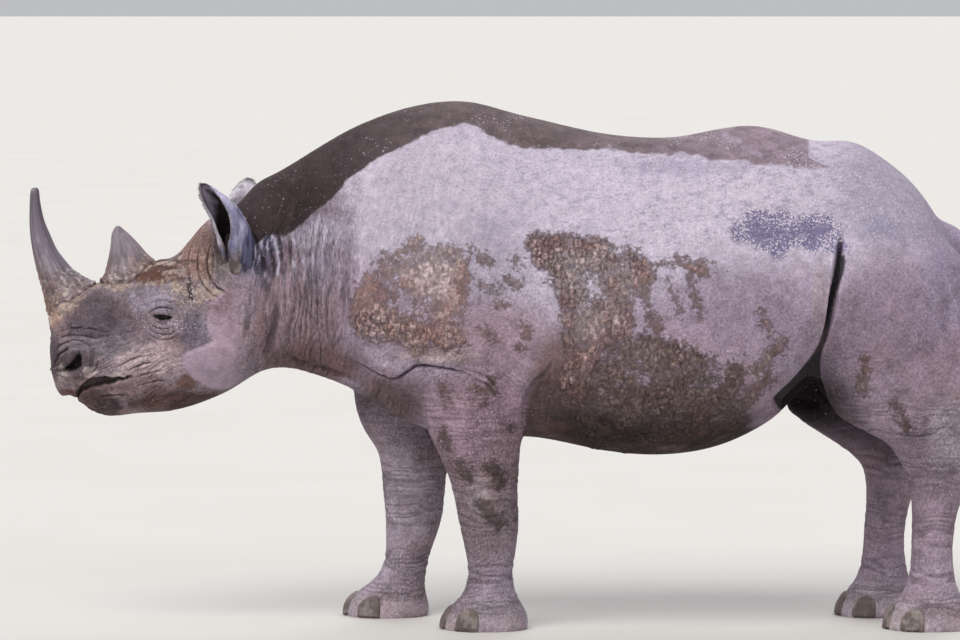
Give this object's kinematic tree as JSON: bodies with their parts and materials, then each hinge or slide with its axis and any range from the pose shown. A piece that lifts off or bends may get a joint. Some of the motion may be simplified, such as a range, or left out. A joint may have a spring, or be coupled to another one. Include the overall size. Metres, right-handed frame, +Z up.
{
  "type": "black rhinoceros model",
  "caption": "Life-size standing black rhinoceros with two horns, hooked upper lip and thin tail, a still model in anatomical parts.",
  "frame": {"origin": "middle of the footprint of the whole animal, on the floor it stands on", "axes": "-X towards the head, -Y towards the animal's left side, +Z up"},
  "size_m": [2.975, 0.846, 1.5991],
  "materials": {
    "skin": "matte, dusty with dried mud",
    "ear_skin": "matte",
    "eye": "wet gloss",
    "horn": "worn, dusty",
    "hoof": "worn, dusty"
  },
  "bodies": {
    "root": {"head": "skin", "neck": "skin", "trunk": "skin", "tail": "skin", "foreleg_left": "skin", "foreleg_right": "skin", "hindleg_left": "skin", "hindleg_right": "skin", "ear_left": "ear_skin", "ear_right": "ear_skin", "eye_left": "eye", "eye_right": "eye", "horn_front": "horn", "horn_rear": "horn", "hoof_foreleg_left_inner": "hoof", "hoof_foreleg_left_middle": "hoof", "hoof_foreleg_left_outer": "hoof", "hoof_foreleg_right_inner": "hoof", "hoof_foreleg_right_middle": "hoof", "hoof_foreleg_right_outer": "hoof", "hoof_hindleg_left_inner": "hoof", "hoof_hindleg_left_middle": "hoof", "hoof_hindleg_left_outer": "hoof", "hoof_hindleg_right_inner": "hoof", "hoof_hindleg_right_middle": "hoof", "hoof_hindleg_right_outer": "hoof"}
  },
  "joints": []
}
